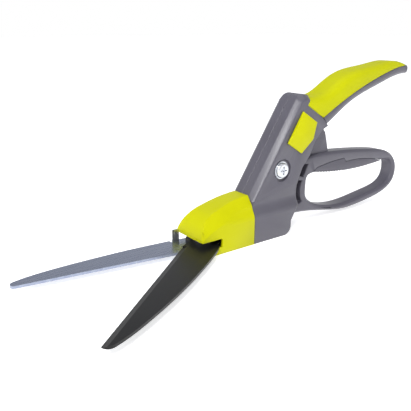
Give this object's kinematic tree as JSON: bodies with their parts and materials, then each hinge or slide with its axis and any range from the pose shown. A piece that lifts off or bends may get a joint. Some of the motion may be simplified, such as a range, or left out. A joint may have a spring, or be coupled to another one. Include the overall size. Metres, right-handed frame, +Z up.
{
  "type": "grass shears",
  "caption": "One-handed grass shears: swept upper handle, closed squeeze loop with side lock, and a swivelling nose that carries a fixed and a moving blade.",
  "frame": {"origin": "middle of the casing's flat base", "axes": "+X forward to the blade tips, +Y to the tool's left, +Z up"},
  "size_m": [0.3512, 0.1047, 0.1254],
  "materials": {
    "grey_plastic": "fine satin moulded grey",
    "lime_plastic": "semi-gloss yellow-green",
    "lime_grip": "soft yellow-green cover",
    "grey_grip": "soft grey insert",
    "dark_plastic": "dark inner plastic",
    "pale_plastic": "natural acetal",
    "blade_steel": "ground and polished",
    "coated_steel": "non-stick black coating",
    "bright_plate": "bright plated pressing",
    "zinc_steel": "bright zinc plating",
    "spring_steel": "bare spring wire and strip"
  },
  "bodies": {
    "casing": {"left_casing": "grey_plastic", "right_casing": "grey_plastic", "top_grip": "lime_grip", "pivot_screw": "zinc_steel", "pivot_washer": "zinc_steel", "pivot_nut": "zinc_steel", "pivot_bush": "zinc_steel", "casing_screws": "zinc_steel", "swivel_bush": "pale_plastic", "detent_spring": "spring_steel", "return_spring": "spring_steel"},
    "lever": {"loop_lever": "grey_plastic", "finger_pad": "grey_grip"},
    "lock": {"lock_slider": "lime_plastic", "lock_clip": "dark_plastic"},
    "head": {"swivel_spindle": "dark_plastic", "detent_disc": "dark_plastic", "spindle_clip": "zinc_steel", "head_base": "dark_plastic", "head_cover": "lime_plastic", "head_screws": "zinc_steel", "fixed_blade": "blade_steel", "blade_rivets": "zinc_steel", "blade_bracket": "bright_plate", "blade_bolt": "zinc_steel", "blade_washer": "zinc_steel", "blade_nut": "zinc_steel"},
    "drive": {"push_rod": "zinc_steel", "drive_yoke": "zinc_steel", "rod_nut": "zinc_steel"},
    "cutter": {"moving_blade": "coated_steel", "crank_pin": "zinc_steel"}
  },
  "joints": [
    {"name": "lever_pivot", "type": "hinge", "parent": "casing", "child": "lever", "pos_m": [-0.0139, 0, 0.0509], "axis": [0, 1, 0], "range_deg": [0, 13.5], "stiffness_Nm_per_rad": 2, "springref_deg": -17.19, "deforming": ["return_spring"]},
    {"name": "head_swivel", "type": "hinge", "parent": "casing", "child": "head", "pos_m": [0.0155, 0, 0.0195], "axis": [1, 0, 0], "range_deg": [-90, 90], "deforming": ["detent_spring"]},
    {"name": "lock_slide", "type": "slide", "parent": "casing", "child": "lock", "axis": [0.549, 0, -0.8358], "range_m": [0, 0.005]},
    {"name": "rod_slide", "type": "slide", "parent": "head", "child": "drive", "axis": [1, 0, 0], "range_m": [-0.00745, 0]},
    {"name": "blade_pivot", "type": "hinge", "parent": "head", "child": "cutter", "pos_m": [0.05, 0, 0.007], "axis": [0, 0, 1], "range_deg": [-40.05, 0]}
  ],
  "couplings": [
    {"joint": "rod_slide", "follows": "lever_pivot", "m_per_rad": -0.031546},
    {"joint": "blade_pivot", "follows": "lever_pivot", "ratio": -2.963}
  ]
}
